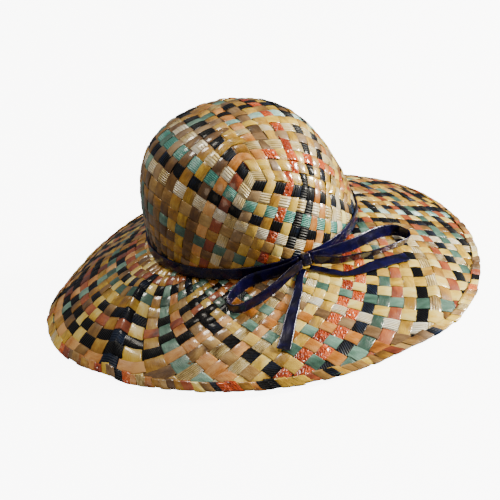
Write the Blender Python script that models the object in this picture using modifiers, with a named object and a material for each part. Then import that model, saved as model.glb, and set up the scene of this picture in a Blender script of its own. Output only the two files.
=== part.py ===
"""A wide-brimmed plaited straw sun hat with a ribbon round the crown, tied in a bow.

Metres, +Z up. The hat stands on its brim, and the origin is the middle of its
base. +X is the wearer's left as the photograph shows it and -Y is the bow's side.
"""

from collections import namedtuple
from math import atan2, cos, degrees, exp, hypot, pi, radians, sin

import bmesh
import bpy
import numpy as np
from mathutils import Vector

# Driving sizes of the straw
head_radius = 0.094  # outside of the crown where the head goes in
crown_height = 0.114  # from the joint with the brim to the top of the dome
joint_height = 0.051  # from the lowest point of the brim's edge to the joint
brim_reach = 0.103  # level distance from the joint to the brim's edge
straw_wall = 0.002  # one layer of plaited straw over the other
tip_radius = 0.012  # flat middle of the crown's top

# Driving sizes of the ribbon
ribbon_width = 0.010
ribbon_wall = 0.001
band_rise = 0.001  # from the joint up to the ribbon's lower edge
knot_width = 0.009
knot_height = 0.011
knot_depth = 0.008
knot_rounding = 0.0025
knot_azimuth = 293.0  # degrees round from +X
clearance = 0.0003  # between pieces that touch

# How finely the soft forms are cut
around_crown = 72
crown_rings = 12
around_brim = 96
brim_rings = 9
band_rings = 3
ribbon_steps = 30
crown_gathering = 1.8  # draws the crown's rings together towards its top

# The crown's sections from the joint to the top: height as a share of
# crown_height, the others as shares of head_radius
Section = namedtuple("Section", "rise breadth lean_x lean_y")
crown_sections = [
    Section(0.00, 1.000, 0.000, 0.000),
    Section(0.09, 1.000, 0.000, 0.000),
    Section(0.20, 0.988, -0.018, 0.000),
    Section(0.34, 0.960, -0.042, 0.000),
    Section(0.50, 0.915, -0.070, 0.000),
    Section(0.68, 0.830, -0.095, 0.005),
    Section(0.82, 0.710, -0.105, 0.010),
    Section(0.92, 0.540, -0.095, 0.010),
    Section(0.98, 0.320, -0.080, 0.005),
    Section(1.00, tip_radius / head_radius, -0.070, 0.000),
]

# The brim's edge every 20 degrees from +X: reach as a share of brim_reach,
# lift as a share of joint_height
Edge = namedtuple("Edge", "reach lift")
brim_edge = [
    Edge(0.965, 0.05),
    Edge(0.955, 0.03),
    Edge(1.000, 0.01),
    Edge(1.000, 0.00),
    Edge(0.985, 0.04),
    Edge(0.980, 0.08),
    Edge(0.960, 0.07),
    Edge(0.890, 0.04),
    Edge(0.870, 0.02),
    Edge(0.985, 0.00),
    Edge(1.010, 0.00),
    Edge(0.955, 0.03),
    Edge(0.950, 0.07),
    Edge(0.955, 0.06),
    Edge(0.980, 0.04),
    Edge(1.000, 0.01),
    Edge(1.080, 0.00),
    Edge(1.020, 0.01),
]

# The brim's fall from joint to edge, as shares of its reach and of its height
Fall = namedtuple("Fall", "across drop")
brim_fall = [
    Fall(0.00, 0.00),
    Fall(0.10, 0.07),
    Fall(0.28, 0.23),
    Fall(0.50, 0.44),
    Fall(0.72, 0.66),
    Fall(0.88, 0.85),
    Fall(1.00, 1.00),
]

# Soft folds that run out across the brim: where they lie, how wide they are,
# and how far they rise, as a share of joint_height
Fold = namedtuple("Fold", "azimuth spread across length rise")
brim_folds = [
    Fold(226.0, 9.0, 0.42, 0.34, -0.110),
    Fold(248.0, 11.0, 0.50, 0.36, 0.080),
    Fold(205.0, 13.0, 0.55, 0.36, 0.070),
    Fold(305.0, 14.0, 0.60, 0.34, -0.050),
    Fold(330.0, 12.0, 0.62, 0.34, 0.060),
    Fold(8.0, 15.0, 0.60, 0.34, -0.055),
    Fold(45.0, 16.0, 0.60, 0.36, 0.050),
    Fold(95.0, 18.0, 0.60, 0.36, 0.060),
    Fold(135.0, 15.0, 0.60, 0.36, -0.060),
    Fold(168.0, 14.0, 0.60, 0.36, 0.045),
]
fold_onset = 0.12  # how far from the joint the folds begin, as a share of the reach

# A ribbon of the bow along its foot, which follows the brim: degrees round from the
# knot, share of the way across the brim, height over the brim and breadth as
# shares of ribbon_width, and degrees that it leans out from upright
Bend = namedtuple("Bend", "turn across lift breadth lean")
left_loop = [
    Bend(-8.0, 0.045, 0.22, 0.95, 0.0),
    Bend(-15.0, 0.050, 0.05, 1.00, 0.0),
    Bend(-22.0, 0.062, 0.00, 1.05, -4.0),
    Bend(-28.5, 0.095, 0.00, 1.10, -8.0),
    Bend(-33.0, 0.150, 0.00, 1.10, -10.0),
    Bend(-36.3, 0.230, 0.00, 1.05, -4.0),
    Bend(-38.0, 0.300, 0.00, 1.00, 4.0),
    Bend(-37.2, 0.350, 0.00, 0.95, 12.0),
    Bend(-33.5, 0.355, 0.00, 0.95, 12.0),
    Bend(-28.0, 0.300, 0.00, 1.00, 6.0),
    Bend(-21.0, 0.225, 0.00, 1.00, 2.0),
    Bend(-14.5, 0.155, 0.08, 1.00, 0.0),
    Bend(-9.0, 0.105, 0.28, 0.95, 0.0),
]
right_loop = [
    Bend(8.0, 0.040, 0.22, 0.95, 0.0),
    Bend(15.0, 0.055, 0.05, 1.00, 0.0),
    Bend(21.0, 0.085, 0.00, 1.05, -4.0),
    Bend(27.0, 0.120, 0.00, 1.10, -8.0),
    Bend(33.5, 0.155, 0.00, 1.10, -12.0),
    Bend(41.0, 0.205, 0.00, 1.10, -12.0),
    Bend(46.8, 0.275, 0.00, 1.10, -6.0),
    Bend(49.5, 0.350, 0.00, 1.05, 6.0),
    Bend(49.0, 0.410, 0.00, 1.00, 22.0),
    Bend(45.5, 0.420, 0.00, 0.95, 32.0),
    Bend(41.0, 0.375, 0.00, 0.90, 36.0),
    Bend(35.0, 0.310, 0.00, 0.90, 36.0),
    Bend(28.0, 0.240, 0.00, 0.90, 36.0),
    Bend(21.0, 0.180, 0.02, 0.90, 32.0),
    Bend(14.0, 0.140, 0.10, 0.90, 26.0),
    Bend(8.5, 0.105, 0.28, 0.90, 14.0),
]

# A ribbon of the bow that lies flat on the brim, along its middle
Lay = namedtuple("Lay", "turn across breadth")
left_tail = [
    Lay(-3.2, 0.070, 0.55),
    Lay(-6.5, 0.130, 0.66),
    Lay(-9.2, 0.220, 0.75),
    Lay(-12.5, 0.325, 0.88),
    Lay(-16.0, 0.455, 1.00),
    Lay(-18.5, 0.590, 1.10),
    Lay(-20.8, 0.715, 1.20),
]
right_tail = [
    Lay(2.6, 0.072, 0.50),
    Lay(5.6, 0.115, 0.58),
    Lay(9.0, 0.180, 0.55),
    Lay(13.2, 0.240, 0.48),
    Lay(18.8, 0.275, 0.75),
    Lay(25.0, 0.310, 1.00),
    Lay(31.3, 0.375, 1.05),
    Lay(37.3, 0.468, 1.05),
]

# Where the bow's ribbons leave the knot, as shares of its depth, the last of its width
back_leg = 0.24
front_leg = 0.76
tail_start = 0.45
tail_parting = 0.30
leg_lift = 0.45  # height of a loop's foot at the knot, as a share of ribbon_width
leg_breadth = 0.85
tail_pinch = 0.8  # breadth of a tail under the knot, as a share of its first row's
tip_margin = 0.25  # level ring round the tip, as a share of tip_radius

# Looks of the solids
straw_colour = (0.46, 0.33, 0.17)
ribbon_colour = (0.012, 0.008, 0.045)
straw_roughness = 0.55
ribbon_roughness = 0.2


def through_rows(rows, share):
    """A smooth curve through the rows of a table, with the first column as its measure."""
    rows = np.array(rows, float)
    last = len(rows) - 1
    low = min(max(int(np.searchsorted(rows[:, 0], share, "right")) - 1, 0), last - 1)
    step = rows[low + 1, 0] - rows[low, 0]
    part = (share - rows[low, 0]) / step

    def slope(row):
        before, after = rows[max(row - 1, 0)], rows[min(row + 1, last)]
        return (after - before) / (after[0] - before[0])

    square, cube = part * part, part ** 3
    smooth = (
        (2 * cube - 3 * square + 1) * rows[low]
        + (cube - 2 * square + part) * step * slope(low)
        + (3 * square - 2 * cube) * rows[low + 1]
        + (cube - square) * step * slope(low + 1)
    )
    return smooth.tolist()


def round_rows(rows, azimuth):
    """A smooth closed curve through evenly spaced rows that go once round."""
    rows = np.array(rows, float)
    place = (azimuth % 360.0) / 360.0 * len(rows)
    low = int(place) % len(rows)
    part = place - int(place)
    a, b, c, d = (rows[(low + k) % len(rows)] for k in (-1, 0, 1, 2))
    smooth = 0.5 * (
        2 * b + (c - a) * part
        + (2 * a - 5 * b + 4 * c - d) * part ** 2
        + (3 * b - a - 3 * c + d) * part ** 3
    )
    return smooth.tolist()


def crown_point(azimuth, rise):
    """A point of the crown's outside, rise being its height as a share of crown_height."""
    _, breadth, lean_x, lean_y = through_rows(crown_sections, rise)
    angle = radians(azimuth)
    return Vector((
        head_radius * (lean_x + breadth * cos(angle)),
        head_radius * (lean_y + breadth * sin(angle)),
        joint_height + crown_height * rise,
    ))


def brim_point(azimuth, across):
    """A point of the brim's upper side, across being 0 at the joint and 1 at the edge."""
    reach, lift = round_rows(brim_edge, azimuth)
    drop = through_rows(brim_fall, across)[1]
    radius = head_radius + brim_reach * reach * across
    height = 1.0 - drop * (1.0 - lift)
    fade = 1.0 - exp(-((across / fold_onset) ** 2))
    for fold in brim_folds:
        turn = (azimuth - fold.azimuth + 180.0) % 360.0 - 180.0
        away = (across - fold.across) / fold.length
        height += fold.rise * fade * exp(-((turn / fold.spread) ** 2) - away ** 2)
    angle = radians(azimuth)
    return Vector((radius * cos(angle), radius * sin(angle), joint_height * height))


def across_at(azimuth, radius):
    """How far across the brim a level distance from the crown's axis is."""
    reach = round_rows(brim_edge, azimuth)[0]
    return (radius - head_radius) / (brim_reach * reach)


def facing(surface, azimuth, share):
    """The direction that the outside of a surface faces at a point."""
    turn, along = 0.5, 0.004
    round_it = surface(azimuth + turn, share) - surface(azimuth - turn, share)
    up_it = surface(azimuth, share + along) - surface(azimuth, share - along)
    away = round_it.cross(up_it)
    if surface is brim_point:
        away.negate()
    return away.normalized()


def bent_grid(columns, rows, place, closed=False):
    """A flat grid moved point by point: place gets a column's share and a row's number."""
    mesh = bmesh.new()
    bmesh.ops.create_grid(mesh, x_segments=columns, y_segments=rows, size=0.5)
    for corner in mesh.verts:
        corner.co = place(corner.co.x + 0.5, round((corner.co.y + 0.5) * rows))
    if closed:
        bmesh.ops.remove_doubles(mesh, verts=mesh.verts[:], dist=1e-6)
    return mesh


def add_piece(name, mesh, colour, roughness):
    """A bmesh made an object of the hat, shaded smooth, with its own material."""
    data = bpy.data.meshes.new(name)
    mesh.to_mesh(data)
    mesh.free()
    data.shade_smooth()
    material = bpy.data.materials.new(name)
    material.use_nodes = True
    shader = material.node_tree.nodes["Principled BSDF"]
    shader.inputs["Base Color"].default_value = (*colour, 1.0)
    shader.inputs["Roughness"].default_value = roughness
    data.materials.append(material)
    piece = bpy.data.objects.new(name, data)
    parts.objects.link(piece)
    piece.parent = hat
    return piece


def thicken(piece, wall, offset):
    """Gives an open surface its wall: offset -1 lays it behind the surface, 1 in front."""
    solid = piece.modifiers.new("wall", "SOLIDIFY")
    solid.thickness = wall
    solid.offset = offset
    solid.use_even_offset = True


def make_crown():
    """The dome, standing on the brim's inner rim, with a small flat middle at its top."""
    foot = clearance / crown_height

    def place(turn, ring):
        rise = 1.0 - (1.0 - ring / crown_rings) ** crown_gathering
        return crown_point(360.0 * turn, foot + (1.0 - foot) * rise)

    mesh = bent_grid(around_crown, crown_rings, place, closed=True)
    top = joint_height + crown_height
    rim = [edge for edge in mesh.edges if edge.is_boundary and edge.verts[0].co.z > top - clearance]
    tip = bmesh.ops.contextual_create(mesh, geom=rim)["faces"]
    bmesh.ops.inset_individual(mesh, faces=tip, thickness=tip_radius * tip_margin)
    bmesh.ops.recalc_face_normals(mesh, faces=mesh.faces[:])
    thicken(add_piece("crown", mesh, straw_colour, straw_roughness), straw_wall, -1)


def make_brim():
    """The brim, from its edge up to the level rim that the crown stands on."""
    def place(turn, ring):
        if ring > brim_rings:
            inner = head_radius - straw_wall
            angle = 2 * pi * turn
            return Vector((inner * cos(angle), inner * sin(angle), joint_height))
        return brim_point(360.0 * turn, 1.0 - ring / brim_rings)

    mesh = bent_grid(around_brim, brim_rings + 1, place, closed=True)
    thicken(add_piece("brim", mesh, straw_colour, straw_roughness), straw_wall, -1)


def make_band():
    """The ribbon round the foot of the crown."""
    def place(turn, ring):
        azimuth = 360.0 * turn
        rise = (band_rise + ribbon_width * ring / band_rings) / crown_height
        return crown_point(azimuth, rise) + clearance * facing(crown_point, azimuth, rise)

    mesh = bent_grid(around_crown, band_rings, place, closed=True)
    thicken(add_piece("ribbon_band", mesh, ribbon_colour, ribbon_roughness), ribbon_wall, 1)


def knot_back():
    """Level distance from the crown's axis to the back of the knot."""
    return head_radius + ribbon_wall + 2 * clearance


def make_knot():
    """The knot, standing against the band and over the tails' thickness."""
    mesh = bmesh.new()
    bmesh.ops.create_cube(mesh, size=1.0)
    bmesh.ops.scale(mesh, verts=mesh.verts, vec=(knot_depth, knot_width, knot_height))
    knot = add_piece("bow_knot", mesh, ribbon_colour, ribbon_roughness)
    rounding = knot.modifiers.new("rounding", "BEVEL")
    rounding.width = knot_rounding
    rounding.segments = 3
    angle = radians(knot_azimuth)
    radius = knot_back() + knot_depth / 2
    foot = joint_height + ribbon_wall + 3 * clearance
    knot.location = (radius * cos(angle), radius * sin(angle), foot + knot_height / 2)
    knot.rotation_euler.z = angle


def leg_at_knot(side, depth):
    """The bend where a loop's leg meets the knot's side, at a share of the knot's depth."""
    radius = knot_back() + knot_depth * depth
    turn = side * degrees((knot_width / 2 + ribbon_wall + clearance) / radius)
    across = across_at(knot_azimuth + turn, radius)
    return Bend(turn, across, leg_lift, leg_breadth, 0.0)


def with_measure(rows, point):
    """The rows of a table with the distance along their points put before them."""
    points = [point(*row) for row in rows]
    steps = [(b - a).length for a, b in zip(points, points[1:])]
    return [(sum(steps[:k]), *row) for k, row in enumerate(rows)]


def loop_edges(turn, across, lift, breadth, lean):
    """The lower and upper edge of a loop at a bend."""
    azimuth = knot_azimuth + turn
    over = 2 * clearance + lift * ribbon_width
    lower = brim_point(azimuth, across) + over * facing(brim_point, azimuth, across)
    out = sin(radians(lean))
    rise = Vector((out * cos(radians(azimuth)), out * sin(radians(azimuth)), cos(radians(lean))))
    return lower, lower + breadth * ribbon_width * rise


def make_loop(name, side, bends):
    """A loop of the bow, from the back of the knot's side round to its front."""
    bends = [leg_at_knot(side, back_leg), *bends, leg_at_knot(side, front_leg)]
    rows = with_measure(bends, lambda *bend: loop_edges(*bend)[0])

    def place(share, ring):
        bend = through_rows(rows, share * rows[-1][0])[1:]
        return loop_edges(*bend)[ring]

    mesh = bent_grid(ribbon_steps, 1, place)
    thicken(add_piece(name, mesh, ribbon_colour, ribbon_roughness), ribbon_wall, 0)


def tail_middle(turn, across, breadth):
    """The middle of a tail at one place, just over the brim."""
    azimuth = knot_azimuth + turn
    over = 2 * clearance + ribbon_wall / 2
    return brim_point(azimuth, across) + over * facing(brim_point, azimuth, across)


def make_tail(name, side, lays):
    """A loose end of the ribbon, from under the knot out over the brim."""
    radius = knot_back() + knot_depth * tail_start
    turn = side * degrees(knot_width * tail_parting / radius)
    start = Lay(turn, across_at(knot_azimuth + turn, radius), lays[0].breadth * tail_pinch)
    rows = with_measure([start, *lays], tail_middle)
    length = rows[-1][0]

    def place(share, column):
        turn, across, breadth = through_rows(rows, share * length)[1:]
        ahead = tail_middle(*through_rows(rows, share * length + clearance)[1:])
        middle = tail_middle(turn, across, breadth)
        along = (ahead - middle).normalized()
        sideways = along.cross(facing(brim_point, knot_azimuth + turn, across))
        spot = middle - (column - 1) * breadth * ribbon_width / 2 * sideways
        azimuth = degrees(atan2(spot.y, spot.x)) % 360.0
        return tail_middle(azimuth - knot_azimuth, across_at(azimuth, hypot(spot.x, spot.y)), breadth)

    mesh = bent_grid(ribbon_steps, 2, place)
    thicken(add_piece(name, mesh, ribbon_colour, ribbon_roughness), ribbon_wall, 0)


def stand_on_origin():
    """Moves the hat so that the middle of its base is the origin."""
    bpy.context.view_layer.update()
    graph = bpy.context.evaluated_depsgraph_get()
    corners = []
    for piece in parts.objects:
        if piece.type == "MESH":
            final = piece.evaluated_get(graph)
            corners += [final.matrix_world @ corner.co for corner in final.data.vertices]
    low = [min(corner[k] for corner in corners) for k in range(3)]
    high = [max(corner[k] for corner in corners) for k in range(3)]
    hat.location = (-(low[0] + high[0]) / 2, -(low[1] + high[1]) / 2, -low[2])


for old in list(bpy.data.objects):
    bpy.data.objects.remove(old)
parts = bpy.data.collections.new("straw_sun_hat")
bpy.context.scene.collection.children.link(parts)
hat = bpy.data.objects.new("hat", None)
parts.objects.link(hat)

make_crown()
make_brim()
make_band()
make_knot()
make_loop("bow_loop_left", -1, left_loop)
make_loop("bow_loop_right", 1, right_loop)
make_tail("bow_tail_left", -1, left_tail)
make_tail("bow_tail_right", 1, right_tail)
stand_on_origin()
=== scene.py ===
# Looks of a wide-brimmed straw sun hat, plaited from dyed straw strips, with a vinyl ribbon and bow.
# Every strip of straw is its own thin ribbon of mesh that passes over and under the strips it crosses.

import math
import bmesh
import bpy
import mathutils
import numpy as np
from mathutils import Matrix, Vector
from mathutils.bvhtree import BVHTree


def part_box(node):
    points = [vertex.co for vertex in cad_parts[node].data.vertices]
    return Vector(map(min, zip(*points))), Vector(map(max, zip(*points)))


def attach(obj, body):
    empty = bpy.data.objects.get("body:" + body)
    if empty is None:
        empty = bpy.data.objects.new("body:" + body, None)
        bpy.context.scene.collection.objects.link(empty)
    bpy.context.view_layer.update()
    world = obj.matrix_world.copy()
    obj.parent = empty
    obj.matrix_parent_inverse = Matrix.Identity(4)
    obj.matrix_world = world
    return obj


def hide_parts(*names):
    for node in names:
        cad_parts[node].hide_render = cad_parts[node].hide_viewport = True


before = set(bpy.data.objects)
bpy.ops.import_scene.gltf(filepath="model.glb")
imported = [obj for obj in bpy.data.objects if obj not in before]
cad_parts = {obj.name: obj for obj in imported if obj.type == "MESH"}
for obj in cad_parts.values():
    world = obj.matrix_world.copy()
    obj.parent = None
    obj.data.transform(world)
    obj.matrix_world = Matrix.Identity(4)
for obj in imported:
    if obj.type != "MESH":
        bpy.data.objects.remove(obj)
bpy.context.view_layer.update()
noise = np.random.default_rng(11)
mm = 0.001


def linearColour(code):
    # an sRGB hex value as the linear colour that the shader wants
    values = [int(code[i:i + 2], 16) / 255 for i in (1, 3, 5)]
    return [v / 12.92 if v <= 0.04045 else ((v + 0.055) / 1.055) ** 2.4 for v in values] + [1.0]


def unit(vectors):
    return vectors / np.maximum(np.linalg.norm(vectors, axis=-1, keepdims=True), 1e-12)


def newMesh(name, points, faces, materials):
    mesh = bpy.data.meshes.new(name)
    mesh.from_pydata(points.tolist(), [], faces.tolist())
    for material in materials:
        mesh.materials.append(material)
    mesh.polygons.foreach_set("use_smooth", np.ones(len(faces), bool))
    return mesh


def newObject(name, data):
    item = bpy.data.objects.new(name, data)
    bpy.context.scene.collection.objects.link(item)
    return item


# Materials

def addNode(tree, kind, settings=None, links=None):
    # adds one node, sets its properties or sockets by name and links sockets to other nodes' outputs
    node = tree.nodes.new(kind)
    for name, value in (settings or {}).items():
        if isinstance(name, str) and hasattr(node, name):
            setattr(node, name, value)
        else:
            node.inputs[name].default_value = value
    for name, source in (links or {}).items():
        tree.links.new(source, node.inputs[name])
    return node


def newMaterial(name):
    material = bpy.data.materials.new(name)
    material.use_nodes = True
    material.node_tree.nodes.clear()
    return material, material.node_tree


def addSkin(tree, settings, links=None):
    # the shader of a material's surface, which goes to the material's output
    shader = addNode(tree, "ShaderNodeBsdfPrincipled", settings, links)
    addNode(tree, "ShaderNodeOutputMaterial", {}, {"Surface": shader.outputs[0]})


# Dyed straw, split flat and ironed: a satin skin with fine fibres along it, darker where the dye pooled.
# surface is how that straw was worked: flat, ribbed across, crinkled or pleated along. The ironed skin
# gives most strips a clear gloss; the navy straw has little of it, which its own coat and specular say.
strawDyes = {
    "k": {"name": "navy_ribbed_straw", "base": "#05080f", "deep": "#020307", "light": "#182845",
          "surface": "ribbed", "roughness": 0.40, "coat": 0.15, "specular": 0.22},
    "g": {"name": "gold_satin_straw", "base": "#b27e1c", "deep": "#6e4807", "light": "#e9c454",
          "surface": "flat", "roughness": 0.34},
    "y": {"name": "pale_yellow_straw", "base": "#ecc238", "deep": "#a07612", "light": "#fff09a",
          "surface": "flat", "roughness": 0.32},
    "t": {"name": "tan_straw", "base": "#99702f", "deep": "#5e3d12", "light": "#cda964",
          "surface": "flat", "roughness": 0.42},
    "b": {"name": "taupe_straw", "base": "#7a5b36", "deep": "#493313", "light": "#b09166",
          "surface": "flat", "roughness": 0.44},
    "i": {"name": "ivory_pleated_straw", "base": "#e6cb84", "deep": "#806026", "light": "#fffdee",
          "surface": "pleated", "roughness": 0.26},
    "c": {"name": "coral_crinkled_straw", "base": "#e25c16", "deep": "#9c3206", "light": "#ffac68",
          "surface": "crinkled", "roughness": 0.28},
    "r": {"name": "terracotta_straw", "base": "#9a441a", "deep": "#642508", "light": "#c87036",
          "surface": "flat", "roughness": 0.40},
    "o": {"name": "peach_straw", "base": "#c4761e", "deep": "#7c440c", "light": "#f0b66c",
          "surface": "flat", "roughness": 0.32},
    "e": {"name": "teal_straw", "base": "#527a6c", "deep": "#2c4e42", "light": "#8ebaa8",
          "surface": "flat", "roughness": 0.30},
    "a": {"name": "aqua_straw", "base": "#a4dcd0", "deep": "#55a396", "light": "#e6fffa",
          "surface": "pleated", "roughness": 0.24},
}

# How a strip's skin is drawn, in mm like the strips' own coordinates. What is too fine to show is coarser.
strawLook = {
    "fibre": (9.0, 0.35),    # a fibre's length and width; really about 0.1 wide
    "blotch": (9.0, 6.0),    # patches where the dye took more or less
    "stops": (0.25, 0.50, 0.80),    # where the deep, base and light tones of a dye lie
    "ribs": 2.3,             # apart; really 1.1
    "pleats": 1.9,           # apart; really 0.9
    "crinkles": 3.0,         # across; really about 1.6
    "waveRepeat": 0.314,     # how far a wave texture of scale 1 runs before it repeats
    "smoother": 0.08,        # how far the roughness falls below a dye's own, and rises above it
    "rougher": 0.10,
    "coat": 0.9,
    "coatRoughness": 0.13,
    "specular": 0.5,
}
# How strongly each surface is pressed into the straw, and how deep.
strawBumps = {
    "flat": (0.8, 0.30 * mm),
    "ribbed": (0.9, 0.55 * mm),
    "pleated": (1.0, 0.60 * mm),
    "crinkled": (1.0, 2.4 * mm),
}


def makeStraw(dye):
    material, tree = newMaterial(dye["name"])
    place = addNode(tree, "ShaderNodeUVMap", {"uv_map": "strip"})
    tone = addNode(tree, "ShaderNodeAttribute", {"attribute_name": "tone"})
    fibreLong, fibreWide = strawLook["fibre"]
    fibreScale = addNode(tree, "ShaderNodeVectorMath",
                         {"operation": "MULTIPLY", 1: (1 / fibreLong, 1 / fibreWide, 1)},
                         {0: place.outputs["UV"]})
    fibres = addNode(tree, "ShaderNodeTexNoise", {"Scale": 1.0, "Detail": 3.0, "Roughness": 0.6},
                     {"Vector": fibreScale.outputs[0]})
    blotchLong, blotchWide = strawLook["blotch"]
    blotchScale = addNode(tree, "ShaderNodeVectorMath",
                          {"operation": "MULTIPLY", 1: (1 / blotchLong, 1 / blotchWide, 1)},
                          {0: place.outputs["UV"]})
    blotches = addNode(tree, "ShaderNodeTexNoise", {"Scale": 1.0, "Detail": 2.0},
                       {"Vector": blotchScale.outputs[0]})
    shade = addNode(tree, "ShaderNodeMath", {"operation": "ADD"},
                    {0: fibres.outputs["Fac"], 1: blotches.outputs["Fac"]})
    shade = addNode(tree, "ShaderNodeMath", {"operation": "MULTIPLY", 1: 0.5}, {0: shade.outputs[0]})
    shade = addNode(tree, "ShaderNodeMath", {"operation": "ADD"},
                    {0: shade.outputs[0], 1: tone.outputs["Fac"]})
    ramp = addNode(tree, "ShaderNodeValToRGB", {}, {"Fac": shade.outputs[0]})
    deepStop, baseStop, lightStop = strawLook["stops"]
    ramp.color_ramp.elements[0].position = deepStop
    ramp.color_ramp.elements[0].color = linearColour(dye["deep"])
    ramp.color_ramp.elements[1].position = lightStop
    ramp.color_ramp.elements[1].color = linearColour(dye["light"])
    middle = ramp.color_ramp.elements.new(baseStop)
    middle.color = linearColour(dye["base"])
    height = fibres.outputs["Fac"]
    if dye["surface"] == "ribbed":
        # ribs pressed across the strip
        ribs = addNode(tree, "ShaderNodeTexWave",
                       {"bands_direction": "X", "Scale": strawLook["waveRepeat"] / strawLook["ribs"],
                        "Distortion": 0.6, "Detail": 1.0},
                       {"Vector": place.outputs["UV"]})
        height = ribs.outputs["Fac"]
    elif dye["surface"] == "pleated":
        # pleats along the strip, which bend a little
        pleats = addNode(tree, "ShaderNodeTexWave",
                         {"bands_direction": "Y", "Scale": strawLook["waveRepeat"] / strawLook["pleats"],
                          "Distortion": 1.6, "Detail": 1.5, "Detail Scale": 0.25},
                         {"Vector": place.outputs["UV"]})
        height = pleats.outputs["Fac"]
    elif dye["surface"] == "crinkled":
        # sharp crinkles all over
        crinkles = addNode(tree, "ShaderNodeTexVoronoi",
                           {"feature": "DISTANCE_TO_EDGE", "Scale": 1 / strawLook["crinkles"]},
                           {"Vector": place.outputs["UV"]})
        height = crinkles.outputs["Distance"]
    strength, depth = strawBumps[dye["surface"]]
    bump = addNode(tree, "ShaderNodeBump", {"Strength": strength, "Distance": depth}, {"Height": height})
    rough = addNode(tree, "ShaderNodeMapRange",
                    {"To Min": dye["roughness"] - strawLook["smoother"],
                     "To Max": dye["roughness"] + strawLook["rougher"]},
                    {"Value": fibres.outputs["Fac"]})
    addSkin(tree, {"IOR": 1.5, "Specular IOR Level": dye.get("specular", strawLook["specular"]),
                   "Coat Weight": dye.get("coat", strawLook["coat"]),
                   "Coat Roughness": strawLook["coatRoughness"]},
            {"Base Color": ramp.outputs["Color"], "Roughness": rough.outputs[0],
             "Normal": bump.outputs["Normal"]})
    return material


strawOrder = list(strawDyes)
strawMaterials = [makeStraw(strawDyes[letter]) for letter in strawOrder]
print("straw materials:", len(strawMaterials))

# The hat's surfaces, measured on the CAD solids

measure = {
    "turnSteps": 144,           # places round the hat
    "riseSteps": 46,            # from the crown's foot to its top
    "reachSteps": 49,           # from the brim's throat to its edge
    "blur": 1.2,                # evens out the solids' flat faces, in steps
    "footLift": 0.2 * mm,       # above the crown's lowest points
    "throatIn": 1.0 * mm,       # inside the ribbon's outside
    "underRibbon": 1.0 * mm,    # how far the plait goes on past the brim solid's inner border
    "rayFrom": 0.3,             # metres from the crown's foot, well outside the hat
    "rayHeight": 0.5,
    # the brim's outer and inner borders are found by halving the way between two radii
    "edgeBetween": (0.15, 0.25),
    "edgeHalvings": 16,
    "edgeMargin": 0.3 * mm,
    "hollow": 0.07,             # inside the crown, where there is no brim
    "innerHalvings": 14,
    "throatMargin": 6 * mm,
}
bandLow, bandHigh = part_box("ribbon_band")
axis = (bandLow + bandHigh) / 2
crownFoot = Vector((axis.x, axis.y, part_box("crown")[0].z + measure["footLift"]))
throat = (bandHigh.x - bandLow.x) / 2 - measure["throatIn"]
turns = np.arange(measure["turnSteps"]) * 2 * math.pi / measure["turnSteps"]


def nodeTree(name):
    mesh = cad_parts[name].data
    return BVHTree.FromPolygons([v.co for v in mesh.vertices], [p.vertices for p in mesh.polygons])


def soften(table):
    # a small blur that runs on round the turn and stops at the table's other two ends
    reach = int(3 * measure["blur"])
    offsets = np.arange(-reach, reach + 1)
    weights = np.exp(-0.5 * (offsets / measure["blur"]) ** 2)
    weights /= weights.sum()
    rounded = sum(w * np.roll(table, o, axis=0) for w, o in zip(weights, offsets))
    padded = np.pad(rounded, ((0, 0), (reach, reach)), mode="edge")
    size = table.shape[1]
    return sum(w * padded[:, reach + o:reach + o + size] for w, o in zip(weights, offsets))


def measureCrown():
    tree = nodeTree("crown")
    table = np.zeros((measure["turnSteps"], measure["riseSteps"]))
    for i, turn in enumerate(turns):
        for j, rise in enumerate(np.linspace(0, math.pi / 2, measure["riseSteps"])):
            level = math.cos(rise)
            ray = Vector((level * math.cos(turn), level * math.sin(turn), math.sin(rise)))
            table[i, j] = (tree.ray_cast(crownFoot + ray * measure["rayFrom"], -ray)[0] - crownFoot).length
    return soften(table)


def measureBrim():
    tree = nodeTree("brim")
    down = Vector((0, 0, -1))

    def hit(turn, radius):
        x, y = axis.x + radius * math.cos(turn), axis.y + radius * math.sin(turn)
        return tree.ray_cast(Vector((x, y, measure["rayHeight"])), down)[0]

    def border(turn, solid, empty, halvings):
        # the radius where the brim stops, between one on it and one off it
        for _ in range(halvings):
            half = (solid + empty) / 2
            if hit(turn, half) is None:
                empty = half
            else:
                solid = half
        return solid

    edge, inner = np.zeros(measure["turnSteps"]), np.zeros(measure["turnSteps"])
    heights = np.zeros((measure["turnSteps"], measure["reachSteps"]))
    for i, turn in enumerate(turns):
        edge[i] = border(turn, *measure["edgeBetween"], measure["edgeHalvings"])
        inner[i] = border(turn, throat + measure["throatMargin"], measure["hollow"],
                          measure["innerHalvings"])
        reach = edge[i] - measure["edgeMargin"] - throat
        for j, share in enumerate(np.linspace(0, 1, measure["reachSteps"])):
            heights[i, j] = hit(turn, throat + reach * share).z
    return edge, inner, soften(heights)


def lookUp(table, turn, place):
    # between the table's four nearest values, with the turn in radians and the place in steps
    i = (np.asarray(turn) / (2 * math.pi) * len(table)) % len(table)
    j = np.clip(place, 0, table.shape[1] - 1.0001)
    i0, j0 = np.floor(i).astype(int) % len(table), np.floor(j).astype(int)
    i1, fi, fj = (i0 + 1) % len(table), i - np.floor(i), j - j0
    return ((table[i0, j0] * (1 - fj) + table[i0, j0 + 1] * fj) * (1 - fi)
            + (table[i1, j0] * (1 - fj) + table[i1, j0 + 1] * fj) * fi)


crownTable = measureCrown()
edgeTable, innerTable, brimTable = measureBrim()
edgeTable, innerTable = (soften(table[:, None].repeat(2, axis=1)) for table in (edgeTable, innerTable))
print("measured crown and brim")


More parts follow.
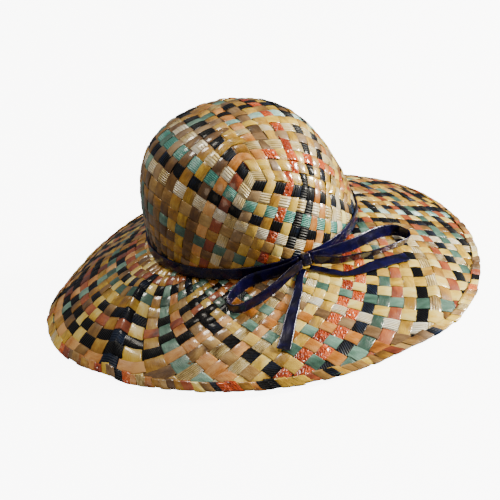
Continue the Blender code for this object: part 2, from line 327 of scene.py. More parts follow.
def crownPoint(way):
    # the crown's outside in a direction from the middle of its foot; nothing goes below the foot
    way = way.copy()
    way[..., 2] = np.maximum(way[..., 2], 0)
    way = unit(way)
    turn = np.arctan2(way[..., 1], way[..., 0])
    rise = np.arcsin(np.clip(way[..., 2], -1, 1))
    far = lookUp(crownTable, turn, rise / (math.pi / 2) * (measure["riseSteps"] - 1))
    return np.array(crownFoot) + way * far[..., None]


def firstShare(turn):
    # where the brim starts, under the ribbon, as a share of the way out from the throat
    inner, edge = (lookUp(table, turn, 0 * turn) for table in (innerTable, edgeTable))
    return (inner - measure["underRibbon"] - throat) / (edge - throat)


# Creases that the soft brim has taken: low sharp ridges that run outward over it.
# atThroat and atEdge are degrees round the hat, and bend shapes the way between them. The ridge rises
# between the shares from and full.
brimCreases = {
    "left": {"atThroat": 197, "atEdge": 222, "bend": 0.5, "halfWidth": 24 * mm, "height": 6.5 * mm,
             "from": 0.04, "full": 0.30},
    "right": {"atThroat": 385, "atEdge": 305, "bend": 1.0, "halfWidth": 34 * mm, "height": 3.2 * mm,
              "from": 0.52, "full": 0.75},
}
creaseShape = {
    "power": 1.5,        # how sharp its top is
    "sinkFrom": 0.8,     # towards the edge it sinks again: from where, over how much of the way out
    "sinkOver": 0.2,
    "sinkBy": 0.5,       # and by what share of its height
}


def creaseLift(turn, share, radius):
    lift = 0 * share
    for crease in brimCreases.values():
        out = np.clip(share, 0, 1) ** crease["bend"]
        line = np.radians(crease["atThroat"] + (crease["atEdge"] - crease["atThroat"]) * out)
        aside = radius * abs((turn - line + math.pi) % (2 * math.pi) - math.pi) / crease["halfWidth"]
        rise = np.clip((share - crease["from"]) / (crease["full"] - crease["from"]), 0, 1)
        sunk = np.clip((share - creaseShape["sinkFrom"]) / creaseShape["sinkOver"], 0, 1)
        fall = 1 - creaseShape["sinkBy"] * sunk
        ridge = crease["height"] * np.clip(1 - aside, 0, 1) ** creaseShape["power"]
        lift = lift + ridge * rise ** 2 * (3 - 2 * rise) * fall
    return lift


def brimPoint(turn, share):
    # the brim's upper side at a turn round the hat and a share of the way out
    edge = lookUp(edgeTable, turn, 0 * share)
    radius = throat + (edge - throat) * share
    high = lookUp(brimTable, turn, share * (measure["reachSteps"] - 1)) + creaseLift(turn, share, radius)
    return np.stack([axis.x + radius * np.cos(turn), axis.y + radius * np.sin(turn), high], -1)


# Strips

weave = {
    "strawWidth": 9.6 * mm,     # one strip
    "strawThickness": 0.42 * mm,
    "wall": 2.0 * mm,           # the solids' wall, which the plait fills
    "ride": 0.52 * mm,          # how far a strip rises over and dips under the middle of the plait
    "crownOfStrip": 0.28 * mm,  # its middle is a little prouder than its edges
    "gap": 0.034,               # share of the width left free at each edge
    "gapChange": 0.014,         # and how much that differs from strip to strip
    "bevel": 0.07,              # share of the width in the rounded edge
    "edgeThickness": 0.45,      # thickness at the edge, as a share of the middle's
    "roll": 0.16 * mm,          # how much a strip tilts between crossings
    "bulge": 0.13 * mm,         # how much it swells up and down
    "quickness": 1.7,           # how fast a strip changes from over to under
    "wanderRows": 5,            # rows of points between changes of roll, bulge and tone
    "toneOfStrip": 0.11,        # how much the tone differs from strip to strip
    "toneAlong": 0.10,          # and along each one
    "grainShift": (97, 31),     # mm, so that no two strips show the same grain
}
acrossShares = np.array([0.0, weave["bevel"], 0.5, 1 - weave["bevel"], 1.0])
acrossPoints = len(acrossShares)
midPoint = acrossPoints // 2
plaitMiddle = -weave["wall"] / 2


def acrossStrip():
    # places across a strip, from 0 to 1 of its pitch; its width and place change a little each time
    low = weave["gap"] + weave["gapChange"] * noise.random()
    high = 1 - weave["gap"] - weave["gapChange"] * noise.random()
    return low + (high - low) * acrossShares


def overUnder(phase):
    # 1 where the strip is on top, -1 where it is beneath, with a quick change between the two
    return np.tanh(weave["quickness"] * np.sin(math.pi * phase)) / math.tanh(weave["quickness"])


def wander(rows):
    # an uneven value along a strip that changes about once a crossing
    step = weave["wanderRows"]
    knots = noise.standard_normal(rows // step + 4)
    return np.interp(np.arange(rows) / step + noise.random(), np.arange(len(knots)), knots)


def lengths(points):
    # how far along a line of points each one lies, in mm
    return np.concatenate([[0], np.cumsum(np.linalg.norm(np.diff(points, axis=0), axis=1))]) / mm


class Strips:
    # gathers many strips into the arrays of one mesh
    def __init__(self):
        self.points, self.faces, self.places, self.dyes, self.tones = [], [], [], [], []
        self.count = 0

    def add(self, grid, lift, dye, outward, thickness=None, loose=1.0):
        # grid is rows along the strip of points across it, and lift raises each from the grid
        along = np.gradient(grid, axis=0)
        across = np.gradient(grid, axis=1)
        normal = unit(np.cross(along, across))
        if np.sum(normal * outward) < 0:
            outward = outward[:, ::-1] if outward.ndim > 1 else outward
            self.add(grid[:, ::-1], lift[:, ::-1], dye, outward, thickness, loose)
            return
        thick = (thickness or weave["strawThickness"]) / 2
        rounding = np.array([weave["edgeThickness"], 1, 1, 1, weave["edgeThickness"]]) * thick
        rows = len(grid)
        bow = weave["crownOfStrip"] * (1 - (2 * acrossShares - 1) ** 2)
        bow = bow + loose * weave["roll"] * wander(rows)[:, None] * (2 * acrossShares - 1)
        bow = bow + loose * weave["bulge"] * wander(rows)[:, None]
        top = grid + normal * (lift + bow + rounding)[..., None]
        under = grid + normal * (lift + bow - rounding)[..., None]
        ring = np.concatenate([top, under[:, ::-1]], axis=1)
        size = ring.shape[1]
        reach, width = lengths(grid[:, midPoint]), lengths(grid[rows // 2])
        shiftAlong, shiftAcross = (most * noise.random() for most in weave["grainShift"])
        wide = np.concatenate([width, width[::-1]]) + shiftAcross
        long = np.repeat(reach[:, None] + shiftAlong, size, 1)
        place = np.stack([long, np.repeat(wide[None], rows, 0)], -1)
        index = self.count + np.arange(rows * size).reshape(rows, size)
        after = np.roll(index, -1, axis=1)
        sides = np.stack([index[:-1], after[:-1], after[1:], index[1:]], -1).reshape(-1, 4)
        # both ends are closed by faces between the upper points and the lower ones
        j = np.arange(acrossPoints - 1)
        below, belowNext = size - 1 - j, size - 2 - j
        first = np.stack([index[0, j], index[0, below], index[0, belowNext], index[0, j + 1]], -1)
        last = np.stack([index[-1, j], index[-1, j + 1], index[-1, belowNext], index[-1, below]], -1)
        faces = np.concatenate([sides, first, last])
        self.points.append(ring.reshape(-1, 3))
        self.places.append(place.reshape(-1, 2))
        self.faces.append(faces)
        self.dyes.append(np.full(len(faces), strawOrder.index(dye)))
        shade = weave["toneOfStrip"] * noise.standard_normal()
        self.tones.append(np.repeat(shade + weave["toneAlong"] * wander(rows), size))
        self.count += rows * size

    def build(self, name, node):
        faces = np.concatenate(self.faces)
        mesh = newMesh(name, np.concatenate(self.points), faces, strawMaterials)
        mesh.polygons.foreach_set("material_index", np.concatenate(self.dyes).astype(np.int32))
        uv = mesh.uv_layers.new(name="strip")
        uv.data.foreach_set("uv", np.concatenate(self.places)[faces.ravel()].astype(np.float32).ravel())
        tone = mesh.attributes.new("tone", "FLOAT", "POINT")
        tone.data.foreach_set("value", np.concatenate(self.tones).astype(np.float32))
        mesh.update()
        piece = newObject(name, mesh)
        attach(piece, "root")
        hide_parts(node)
        print(name, "triangles:", 2 * len(faces))


# Crown

# The crown's plait is a square mat on top, whose strips run on down the four sides and are crossed
# there by hoops. The mat sits askew on the head: its middle leans to the right and back.
crownPlait = {
    "lean": 32.4,       # degrees between the mat's middle and straight up
    "leanTowards": 13.2,
    "twist": 11.0,
    "matStrips": 16,    # each way across the mat, so four times that round the sides
    "hoops": 14,
    # the hoops lie wider beside the mat: hoops counted, and how far down they have come, in strips
    "hoopCounts": (0, 3, 6, 40),
    "hoopPlaces": (0, 3.75, 7.0, 41),
    "samples": 5,       # rows of points in each crossing
    "fewestRows": 3,    # shorter bits are left out
    # where a strip may end inside the mat's edge, in strips: the first place, or else the second
    "splices": (0.6, 1.6),
    "overlap": 0.05,    # how far its two ends run past each other
    # the mat's strips are the loosest and most twisted
    "looseness": {"near": 1.3, "mat": 2.4, "far": 1.3},
    # dyes: a straw ends under another near the mat's edge and a new one goes on down the side
    "forwardStrips": {"near": "tgkyotgbkgtcygkt", "mat": "gobgcykgkoiyoygt", "far": "bggcykkooyiiytgk"},
    "sideStrips": {"near": "tktgtebbttgytori", "mat": "tkgeikktayibicyy", "far": "yikoygtiykgotyig"},
    "hoopStrips": "kiakitgetgbktg",
}
stripTurn = math.pi / 2 / crownPlait["matStrips"]
quarterTurn = math.pi / 4


def matAxes():
    lean, towards, twist = (math.radians(crownPlait[k]) for k in ("lean", "leanTowards", "twist"))
    flat = math.sin(lean)
    pole = np.array([flat * math.cos(towards), flat * math.sin(towards), math.cos(lean)])
    first = np.cross([0, 0, 1], pole)
    first /= np.linalg.norm(first)
    second = np.cross(pole, first)
    return (math.cos(twist) * first + math.sin(twist) * second,
            math.cos(twist) * second - math.sin(twist) * first, pole)


matFirst, matSecond, matPole = matAxes()


def matWay(forward, sideways):
    return np.tan(forward)[..., None] * matFirst + np.tan(sideways)[..., None] * matSecond + matPole


def hoopWay(turn, drop):
    # turn goes round the mat's middle; hoops are square beside the mat and rounder further down
    fromFace = (turn + quarterTurn) % (math.pi / 2) - quarterTurn
    share = np.clip(drop / quarterTurn, 0, 1)
    squared = np.arctan(np.tan(np.clip(drop, 0, quarterTurn)) * (1 - (1 - np.cos(fromFace)) * share))
    high = np.where(drop > 0, squared, drop)
    return ((np.cos(high) * np.cos(turn))[..., None] * matFirst
            + (np.cos(high) * np.sin(turn))[..., None] * matSecond + np.sin(high)[..., None] * matPole)


def stripWay(family, place, along):
    # a strip climbs one side, crosses the mat and goes down the other side; along is counted in strips
    size = crownPlait["matStrips"]
    onMat = quarterTurn - np.clip(along, 0, size) * stripTurn
    climb = quarterTurn - np.where(along < 0, -along, along - size) * stripTurn
    if family == "forward":
        mat = matWay(onMat, place)
        nearSide, farSide = hoopWay(place, climb), hoopWay(math.pi - place, climb)
    else:
        mat = matWay(place, onMat)
        nearSide, farSide = hoopWay(math.pi / 2 - place, climb), hoopWay(math.pi * 1.5 + place, climb)
    far = (along > size)[..., None]
    return np.where((along < 0)[..., None], nearSide, np.where(far, farSide, unit(mat)))


def hoopPlace(count):
    return np.interp(count, crownPlait["hoopCounts"], crownPlait["hoopPlaces"])


def crownPhase(along):
    # how many crossings a strip has passed; at the mat's edge it keeps its side for two
    size = crownPlait["matStrips"]
    beyond = np.maximum(-along, along - size)
    hoop = 1 + np.interp(beyond, crownPlait["hoopPlaces"], crownPlait["hoopCounts"])
    return np.where(along < 0, -hoop, np.where(along > size, size + hoop, along))


def runs(mask):
    # stretches of true values, as pairs of first and last place
    edges = np.flatnonzero(np.diff(np.concatenate([[0], mask.astype(int), [0]])))
    return list(zip(edges[::2], edges[1::2] - 1))


def addCrownRuns(pieces, ways, use, rise, dye, loose):
    # one length of strip for each stretch that is used and lies above the crown's foot
    for first, last in runs(use & (ways[:, midPoint, 2] > 0)):
        if last - first < crownPlait["fewestRows"]:
            continue
        grid = crownPoint(ways[first:last + 1])
        lift = plaitMiddle + weave["ride"] * rise[first:last + 1, None] + np.zeros((1, acrossPoints))
        pieces.add(grid, lift, dye, grid - np.array(crownFoot), loose=loose)


def makeCrownStrips():
    size, samples = crownPlait["matStrips"], crownPlait["samples"]
    strips = Strips()
    along = np.arange(-size * samples, 2 * size * samples + 1) / samples
    shape = (len(along), acrossPoints)
    families = (("forward", crownPlait["forwardStrips"], 1), ("side", crownPlait["sideStrips"], -1))
    for family, dyes, sign in families:
        for number in range(size):
            place = quarterTurn - (number + acrossStrip()) * stripTurn
            ways = stripWay(family, np.broadcast_to(place, shape), np.broadcast_to(along[:, None], shape))
            rise = sign * (-1) ** number * overUnder(crownPhase(along))
            # the splices lie where the strip is beneath another
            soon, later = crownPlait["splices"]
            near, far = (spot if rise[np.argmin(abs(along - spot))] < 0 else deeper
                         for spot, deeper in ((soon, later), (size - soon, size - later)))
            for part, low, high in (("near", -size, near), ("mat", near, far), ("far", far, 2 * size)):
                inPart = (along > low - crownPlait["overlap"]) & (along < high + crownPlait["overlap"])
                addCrownRuns(strips, ways, inPart, rise, dyes[part][number],
                             crownPlait["looseness"][part])
    strips.build("crown_strips", "crown")


def makeCrownHoops():
    size, samples = crownPlait["matStrips"], crownPlait["samples"]
    hoops = Strips()
    turn = np.arange(4 * size * samples + 1) / samples
    shape = (len(turn), acrossPoints)
    angle = turn * stripTurn - quarterTurn
    everywhere = np.ones(len(turn), bool)
    for number in range(crownPlait["hoops"]):
        drop = quarterTurn - hoopPlace(number + acrossStrip()) * stripTurn
        ways = hoopWay(np.broadcast_to(angle[:, None], shape), np.broadcast_to(drop, shape))
        rise = (-1) ** number * overUnder(turn)
        addCrownRuns(hoops, ways, everywhere, rise, crownPlait["hoopStrips"][number], 1.0)
    hoops.build("crown_hoops", "crown")


makeCrownStrips()
makeCrownHoops()

# Brim

# How far the brim's hoops turn inward from its circles, going anticlockwise as seen from above.
# In degrees; columns: place round the hat, at the throat, at the edge
brimBias = [
    (0, 22, 20), (30, 14, 12), (60, 6, 6), (90, 0, 0), (120, 0, 0), (150, 0, 0), (180, 2, 2),
    (197, 4, 2), (212, 10, 2), (222, 28, 12), (232, 45, 28), (245, 52, 42), (262, 54, 48),
    (285, 48, 26), (300, 48, 36), (315, 48, 40), (340, 34, 32),
]
brimPlait = {
    "spokes": 78,        # strips that run out to the edge, in all
    "newHoops": 24,      # hoops that start at the throat in one turn, as many as end at the edge
    "waves": 7,          # how finely the plait's direction may change round the hat
    "powers": 3,         # and from throat to edge
    "straight": 2.0,     # how much more the directions count than an even spacing
    "fitTurn": math.pi / 90,    # the grid on which both are weighed
    "fitShares": 15,
    "slopeStep": 0.03,   # how far apart two points are taken to measure the brim's own lengths
    "turnPlaces": 720,   # the grid on which strips are traced, in one turn
    "sharePlaces": 93,
    "shareFrom": -0.15,
    "fewestRows": 8,     # shorter bits of hoop are left out
    "fewestPoints": 3,   # points across a hoop that have to lie on the brim
    # dyes, counted anticlockwise from the wearer's left, and from the first hoop that starts there
    "spokeDyes": "yktgkoytkcgiytkgbokygtkcyogktbkyg" "tktgkroegtyytgk" "ygeotkgeoeobiyeyygyiyiietkyakg",
    "hoopDyes": "cckerykigrkeykrkkotioiyy",
}


def biasAt(turn, share):
    rows = np.array(brimBias + [(360,) + brimBias[0][1:]], float)
    place = np.degrees(turn) % 360
    inner, outer = (np.interp(place, rows[:, 0], rows[:, i]) for i in (1, 2))
    return np.radians(inner + (outer - inner) * share)


def plaitTerms(turn, share):
    # the smooth terms that a plait's count is made of, and their slopes round and outward
    terms, roundSlopes, outSlopes = [], [], []
    for power in range(brimPlait["powers"]):
        out = share ** power
        outSlope = power * share ** max(power - 1, 0)
        for wave in range(brimPlait["waves"] + 1):
            pairs = [(np.cos(wave * turn), -wave * np.sin(wave * turn))]
            if wave:
                pairs.append((np.sin(wave * turn), wave * np.cos(wave * turn)))
            for value, slope in pairs:
                terms.append(value * out)
                roundSlopes.append(slope * out)
                outSlopes.append(value * outSlope)
    return np.array(terms), np.array(roundSlopes), np.array(outSlopes)


def solvePlait():
    # finds two counts over the brim, one that grows by 1 at each spoke and one at each hoop, whose lines
    # follow brimBias and keep a strip's width apart as well as they can
    turn, share = (g.ravel() for g in np.meshgrid(np.arange(0, 2 * math.pi, brimPlait["fitTurn"]),
                                                  np.linspace(0, 1, brimPlait["fitShares"]),
                                                  indexing="ij"))
    step = brimPlait["slopeStep"]
    low, high = np.clip(share - step, 0, 1), np.clip(share + step, 0, 1)
    outLength = np.linalg.norm(brimPoint(turn, high) - brimPoint(turn, low), axis=-1) / (high - low)
    aside = brimPoint(turn + step, share) - brimPoint(turn - step, share)
    roundLength = np.linalg.norm(aside, axis=-1) / 2 / step
    bias = biasAt(turn, share)
    terms, roundSlopes, outSlopes = plaitTerms(turn, share)
    roundRows, outRows = (roundSlopes / roundLength).T, (outSlopes / outLength).T
    found = []
    for whole, roundWant, outWant in ((brimPlait["spokes"], np.cos(bias), -np.sin(bias)),
                                      (brimPlait["newHoops"], np.sin(bias), np.cos(bias))):
        winding = -whole / (2 * math.pi) / roundLength
        crossRows = roundWant[:, None] * roundRows + outWant[:, None] * outRows
        alongRows = brimPlait["straight"] * (roundWant[:, None] * outRows - outWant[:, None] * roundRows)
        wanted = np.concatenate([1 / weave["strawWidth"] + roundWant * winding,
                                 -brimPlait["straight"] * outWant * winding])
        rows = np.concatenate([crossRows, alongRows])[:, 1:]
        shares = np.linalg.lstsq(rows, wanted, rcond=1e-6)[0]
        found.append((whole, np.concatenate([[0], shares])))
    return found


spokeCount, hoopCount = solvePlait()


def countAt(count, turn, share):
    whole, shares = count
    terms = plaitTerms(turn.ravel(), share.ravel())[0]
    return whole * turn / (2 * math.pi) + (shares @ terms).reshape(turn.shape)


def makeBrimStrips():
    up = np.array([0, 0, 1.0])
    turn = np.linspace(-2 * math.pi, 4 * math.pi, 3 * brimPlait["turnPlaces"] + 1)
    share = np.linspace(brimPlait["shareFrom"], 1, brimPlait["sharePlaces"])
    turnGrid, shareGrid = np.meshgrid(turn, share, indexing="ij")
    spokeGrid = countAt(spokeCount, turnGrid, shareGrid)
    hoopGrid = countAt(hoopCount, turnGrid, shareGrid)

    spokes = Strips()
    for number in range(brimPlait["spokes"]):
        places = number + acrossStrip()
        angle = np.array([np.interp(places, spokeGrid[:, j], turn) for j in range(len(share))])
        shares = np.repeat(share[:, None], acrossPoints, 1)
        start = np.flatnonzero(share >= firstShare(angle[:, midPoint]))[0]
        angle, shares = angle[start:], shares[start:]
        phase = countAt(hoopCount, angle, shares)
        lift = plaitMiddle + weave["ride"] * (-1) ** number * overUnder(phase)
        spokes.add(brimPoint(angle, shares), lift, brimPlait["spokeDyes"][number], up)
    spokes.build("brim_spokes", "brim")

    hoops = Strips()
    for number in range(brimPlait["newHoops"]):
        places = number + acrossStrip()
        shares = np.array([np.interp(places, hoopGrid[i], share) for i in range(len(turn))])
        onBrim = np.sum((shares > firstShare(turn)[:, None]) & (shares < 1), axis=1)
        for first, last in runs(onBrim >= brimPlait["fewestPoints"]):
            if last - first < brimPlait["fewestRows"] or first == 0 or last == len(turn) - 1:
                continue
            angle = np.repeat(turn[first:last + 1, None], acrossPoints, 1)
            reach = shares[first:last + 1]
            phase = countAt(spokeCount, angle, reach)
            lift = plaitMiddle - weave["ride"] * (-1) ** number * overUnder(phase)
            hoops.add(brimPoint(angle, reach), lift, brimPlait["hoopDyes"][number], up)
    hoops.build("brim_hoops", "brim")


makeBrimStrips()

# Painted shade: a dark sheet inside the plait

shadePly = {
    "depth": 1.35 * mm,      # under the plait's upper side, so that only the gaps show it
    "crownRows": 40,
    "topHole": 0.01,         # radians left open at the crown's top, inside the plait
    "brimRows": 48,
    "reach": 0.99,           # share of the way out where it ends
    "roughness": 0.8,
    "specular": 0.2,
    # the painted shade's colour, seen in the gaps between the strips
    "colour": "#2e2214",
}


def makeShadePly():
    # one dark sheet inside the plait, down the crown and out over the brim, painted the colour of shade
    rises = np.linspace(math.pi / 2 - shadePly["topHole"], 0, shadePly["crownRows"])
    roundGrid, riseGrid = np.meshgrid(turns, rises, indexing="ij")
    level = np.cos(riseGrid)
    ways = np.stack([level * np.cos(roundGrid), level * np.sin(roundGrid), np.sin(riseGrid)], -1)
    roundGrid, shareGrid = np.meshgrid(turns, np.linspace(0, 1, shadePly["brimRows"]), indexing="ij")
    shares = firstShare(roundGrid) * (1 - shareGrid) + shadePly["reach"] * shareGrid
    points = np.concatenate([crownPoint(ways), brimPoint(roundGrid, shares)], axis=1)
    rounds, size = points.shape[:2]
    aside = np.roll(points, -1, axis=0) - np.roll(points, 1, axis=0)
    points -= unit(np.cross(np.gradient(points, axis=1), aside)) * shadePly["depth"]
    index = np.arange(rounds * size).reshape(rounds, size)
    after = np.roll(index, -1, axis=0)
    faces = np.stack([index[:, :-1], index[:, 1:], after[:, 1:], after[:, :-1]], -1).reshape(-1, 4)
    # painted shade: a dull, dark sheet that gives the gaps between the strips the colour of the shade
    # there
    material, tree = newMaterial("painted_gap_shade")
    addSkin(tree, {"Base Color": linearColour(shadePly["colour"]), "Roughness": shadePly["roughness"],
                   "Specular IOR Level": shadePly["specular"]})
    piece = newObject("gap_shade_ply", newMesh("gap_shade_ply", points.reshape(-1, 3), faces, [material]))
    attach(piece, "root")
    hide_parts("crown", "brim")
    print("gap_shade_ply triangles:", 2 * len(faces))


makeShadePly()

# The strips' ends, folded round the rim and tucked beneath

turnedEdge = {
    "tabs": 150,
    "overlap": 1.25,      # width of a tab over its share of the rim
    "stray": 0.12,        # how far a tab lies from its place, as a share of it
    # how far a tab reaches in over the brim and beneath it, and how that varies: least, and more by chance
    "above": 5.5 * mm,
    "aboveTimes": (0.85, 0.4),
    "below": 6.0 * mm,
    "belowTimes": (0.85, 0.3),
    "slant": 0.85,        # how far it turns aside on its way out
    "slantTimes": (0.8, 0.4),
    "slantRadius": 0.19,
    # the bend round the rim: where it starts above and ends below, and how high it lies from the middle
    "bendFrom": 0.6 * mm,
    "bendTo": 0.8 * mm,
    "highAbove": 1.35 * mm,
    "highRim": 0.8 * mm,
    "highBelow": 0.62 * mm,
    "every": 0.14 * mm,   # every other tab lies this much higher
    "uneven": 1.8 * mm,   # how far the tabs stand out past each other
    "rows": (5, 7, 4),    # rows of points above, round the bend and below
    "thickness": 0.36 * mm,
    "core": 4 * mm,       # in from the rim, a place that all its outer faces look away from
    "slopeShare": 0.04,   # how far apart two points are taken to find the way out and the way round
    "slopeTurn": 0.02,
    "dyes": "ygtkcroytybigtkyct",
}


def vary(times):
    least, more = times
    return least + more * noise.random()


def makeTurnedEdge():
    tabs = Strips()
    share = 2 * math.pi / turnedEdge["tabs"]
    rowsAbove, rowsRound, rowsBelow = turnedEdge["rows"]
    bend = np.linspace(0, math.pi, rowsRound)
    low = turnedEdge["highBelow"]
    highsOfTab = np.concatenate([np.linspace(turnedEdge["highAbove"], turnedEdge["highRim"], rowsAbove),
                                 low * np.cos(bend), np.full(rowsBelow, -low)])
    for number in range(turnedEdge["tabs"]):
        above = turnedEdge["above"] * vary(turnedEdge["aboveTimes"])
        below = turnedEdge["below"] * vary(turnedEdge["belowTimes"])
        outs = np.concatenate([np.linspace(-above, -turnedEdge["bendFrom"], rowsAbove),
                               low * np.sin(bend),
                               np.linspace(-turnedEdge["bendTo"], -below, rowsBelow)])
        outs = outs + np.where(outs > 0, turnedEdge["uneven"] * noise.random(), 0)
        raised = turnedEdge["every"] * (number % 2)
        highs = highsOfTab + np.where(highsOfTab > 0, raised, 0)
        slant = turnedEdge["slant"] * vary(turnedEdge["slantTimes"])
        middle = share * (number + turnedEdge["stray"] * noise.standard_normal())
        aside = share * turnedEdge["overlap"] * (acrossShares - 0.5)[None]
        angle = middle + aside + slant * outs[:, None] / turnedEdge["slantRadius"]
        angle = np.broadcast_to(angle, (len(outs), acrossPoints))
        edge = lookUp(edgeTable, angle, 0 * angle) - throat
        place = np.clip(1 + outs[:, None] / edge, 0, 1)
        here = brimPoint(angle, place)
        outward = unit(here - brimPoint(angle, place - turnedEdge["slopeShare"]))
        step = turnedEdge["slopeTurn"]
        sideways = brimPoint(angle + step, place) - brimPoint(angle - step, place)
        up = unit(np.cross(outward, sideways))
        high = (highs + plaitMiddle)[:, None, None]
        grid = here + up * high + outward * np.maximum(outs, 0)[:, None, None]
        core = brimPoint(angle, 1 - turnedEdge["core"] / edge) + up * plaitMiddle
        dye = turnedEdge["dyes"][noise.integers(len(turnedEdge["dyes"]))]
        tabs.add(grid, np.zeros((len(outs), acrossPoints)), dye, grid - core,
                 thickness=turnedEdge["thickness"])
    tabs.build("brim_edge", "brim")


makeTurnedEdge()

# Ribbon

ribbonLook = {
    "fineness": 1.6 * mm,    # length of the mesh's edges
    "rounds": 3,             # times that longer edges are halved
    "mostFaces": 24000,
    "joined": 0.02 * mm,     # points nearer than this become one
    "ripple": 0.28 * mm,     # height of the soft dents
    "rippleLength": 9.0 * mm,
    "creaseLength": 9 * mm,
    "foldLength": 7 * mm,
    "creaseStrength": 0.55,
    "creaseDepth": 0.8 * mm,
    "darkStop": 0.35,
    "dark": "#060318",
    "lightStop": 0.75,
    "light": "#0f0a40",
    "roughness": 0.26,
    "coat": 0.35,
    "coatRoughness": 0.10,
    "coatTint": "#b9b2ff",
}


def makeVinyl():
    # glossy vinyl tape, creased by tying: a smooth skin with small soft creases that break up its shine
    material, tree = newMaterial("navy_violet_vinyl_tape")
    place = addNode(tree, "ShaderNodeTexCoord")
    crease = addNode(tree, "ShaderNodeTexNoise",
                     {"Scale": 1 / ribbonLook["creaseLength"], "Detail": 1.0, "Distortion": 0.8},
                     {"Vector": place.outputs["Object"]})
    fold = addNode(tree, "ShaderNodeTexVoronoi",
                   {"feature": "SMOOTH_F1", "Scale": 1 / ribbonLook["foldLength"]},
                   {"Vector": place.outputs["Object"]})
    height = addNode(tree, "ShaderNodeMath", {"operation": "ADD"},
                     {0: crease.outputs["Fac"], 1: fold.outputs["Distance"]})
    bump = addNode(tree, "ShaderNodeBump",
                   {"Strength": ribbonLook["creaseStrength"], "Distance": ribbonLook["creaseDepth"]},
                   {"Height": height.outputs[0]})
    tint = addNode(tree, "ShaderNodeValToRGB", {}, {"Fac": crease.outputs["Fac"]})
    tint.color_ramp.elements[0].position = ribbonLook["darkStop"]
    tint.color_ramp.elements[0].color = linearColour(ribbonLook["dark"])
    tint.color_ramp.elements[1].position = ribbonLook["lightStop"]
    tint.color_ramp.elements[1].color = linearColour(ribbonLook["light"])
    addSkin(tree, {"Roughness": ribbonLook["roughness"], "IOR": 1.52, "Coat Weight": ribbonLook["coat"],
                   "Coat Roughness": ribbonLook["coatRoughness"],
                   "Coat Tint": linearColour(ribbonLook["coatTint"])},
            {"Base Color": tint.outputs["Color"], "Normal": bump.outputs["Normal"]})
    return material


def makeRibbon(node, material):
    # the solid's own form with a finer mesh, evened out and softly dented
    shape = bmesh.new()
    shape.from_mesh(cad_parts[node].data)
    bmesh.ops.remove_doubles(shape, verts=shape.verts, dist=ribbonLook["joined"])
    for _ in range(ribbonLook["rounds"]):
        long = [edge for edge in shape.edges if edge.calc_length() > ribbonLook["fineness"]]
        if not long or len(shape.faces) > ribbonLook["mostFaces"]:
            break
        bmesh.ops.subdivide_edges(shape, edges=long, cuts=1, use_grid_fill=True)
        bmesh.ops.triangulate(shape, faces=shape.faces)
    bmesh.ops.smooth_vert(shape, verts=shape.verts, factor=0.5, use_axis_x=True, use_axis_y=True,
                          use_axis_z=True)
    shape.normal_update()
    for vert in shape.verts:
        ripple = mathutils.noise.noise(vert.co / ribbonLook["rippleLength"])
        vert.co += vert.normal * ripple * ribbonLook["ripple"]
    mesh = bpy.data.meshes.new(node + "_vinyl")
    shape.to_mesh(mesh)
    shape.free()
    mesh.validate()
    mesh.materials.append(material)
    mesh.polygons.foreach_set("use_smooth", np.ones(len(mesh.polygons), bool))
    piece = newObject(node + "_vinyl", mesh)
    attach(piece, "root")
    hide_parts(node)
    print(piece.name, "triangles:", len(mesh.polygons))


vinyl = makeVinyl()
for node in ("ribbon_band", "bow_knot", "bow_loop_left", "bow_loop_right", "bow_tail_left",
             "bow_tail_right"):
    makeRibbon(node, vinyl)

# Camera, floor and light

view = {
    "below": 28.0,       # degrees that the camera looks down
    "roll": 10.0,
    "distance": 1.6,
    "target": (0.0, 0.0, -1.0 * mm),   # from the middle of the crown's foot
    "focal": 128.68,     # mm on a 36 mm wide sensor
    "shiftRight": -2.7 * mm,
    "shiftUp": -20.6 * mm,
}


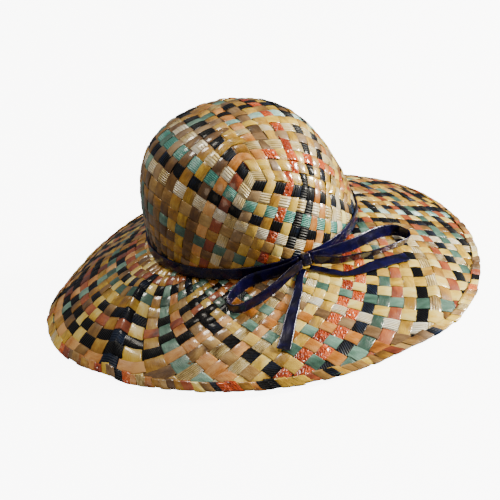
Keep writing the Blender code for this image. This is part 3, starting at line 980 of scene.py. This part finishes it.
def makeCamera():
    below, roll = math.radians(view["below"]), math.radians(view["roll"])
    back = Vector((0, -math.cos(below), math.sin(below)))
    right = Vector((1, 0, 0))
    up = back.cross(right)
    rolledRight = math.cos(roll) * right - math.sin(roll) * up
    rolledUp = math.sin(roll) * right + math.cos(roll) * up
    eye = crownFoot + Vector(view["target"]) + back * view["distance"]
    eye += rolledRight * view["shiftRight"] + rolledUp * view["shiftUp"]
    lens = bpy.data.cameras.new("camera")
    lens.lens = view["focal"]
    lens.clip_start, lens.clip_end = 0.01, 20
    camera = newObject("camera", lens)
    pose = np.eye(4)
    for column, direction in enumerate((rolledRight, rolledUp, back, eye)):
        pose[:3, column] = direction
    camera.matrix_world = Matrix(pose.tolist())
    bpy.context.scene.camera = camera


floorLook = {
    "half": 6.0,         # metres from the middle to each side
    "colour": "#f4f4f4",
    "roughness": 0.9,
    "specular": 0.1,
    "glow": 8.0,
}


def makeFloor():
    half = floorLook["half"]
    corners = [(-half, -half, 0), (half, -half, 0), (half, half, 0), (-half, half, 0)]
    mesh = bpy.data.meshes.new("floor")
    mesh.from_pydata(corners, [], [(0, 1, 2, 3)])
    floor = newObject("floor", mesh)
    # a light table: frosted white acrylic, lit evenly from beneath
    material, tree = newMaterial("lit_white_acrylic")
    addSkin(tree, {"Base Color": linearColour(floorLook["colour"]), "Roughness": floorLook["roughness"],
                   "Specular IOR Level": floorLook["specular"],
                   "Emission Color": linearColour("#ffffff"), "Emission Strength": floorLook["glow"]})
    mesh.materials.append(material)
    # its glow is for the background alone
    floor.visible_diffuse = False
    floor.visible_glossy = False


lamps = [
    # name, place, size, watts, colour
    ("key", (1.60, 0.04, 0.58), 0.30, 82, "#fff9e8"),
    ("top", (-0.40, 0.52, 1.7), 0.40, 17, "#fff6e6"),
    ("front", (-0.7, -1.8, 1.0), 0.9, 6.5, "#ffe2c0"),
]
lampAim = Vector((0, 0, 0.05))
worldLight = 0.15


def makeLights():
    for name, place, size, watts, colour in lamps:
        lamp = bpy.data.lights.new(name, "AREA")
        lamp.size, lamp.energy = size, watts
        lamp.color = linearColour(colour)[:3]
        holder = newObject(name, lamp)
        holder.location = place
        holder.rotation_euler = (lampAim - Vector(place)).to_track_quat("-Z", "Y").to_euler()
    world = bpy.data.worlds.new("studio")
    world.use_nodes = True
    background = world.node_tree.nodes["Background"]
    background.inputs["Color"].default_value = linearColour("#ffffff")
    background.inputs["Strength"].default_value = worldLight
    bpy.context.scene.world = world


makeCamera()
makeFloor()
makeLights()
print("camera, floor and light")
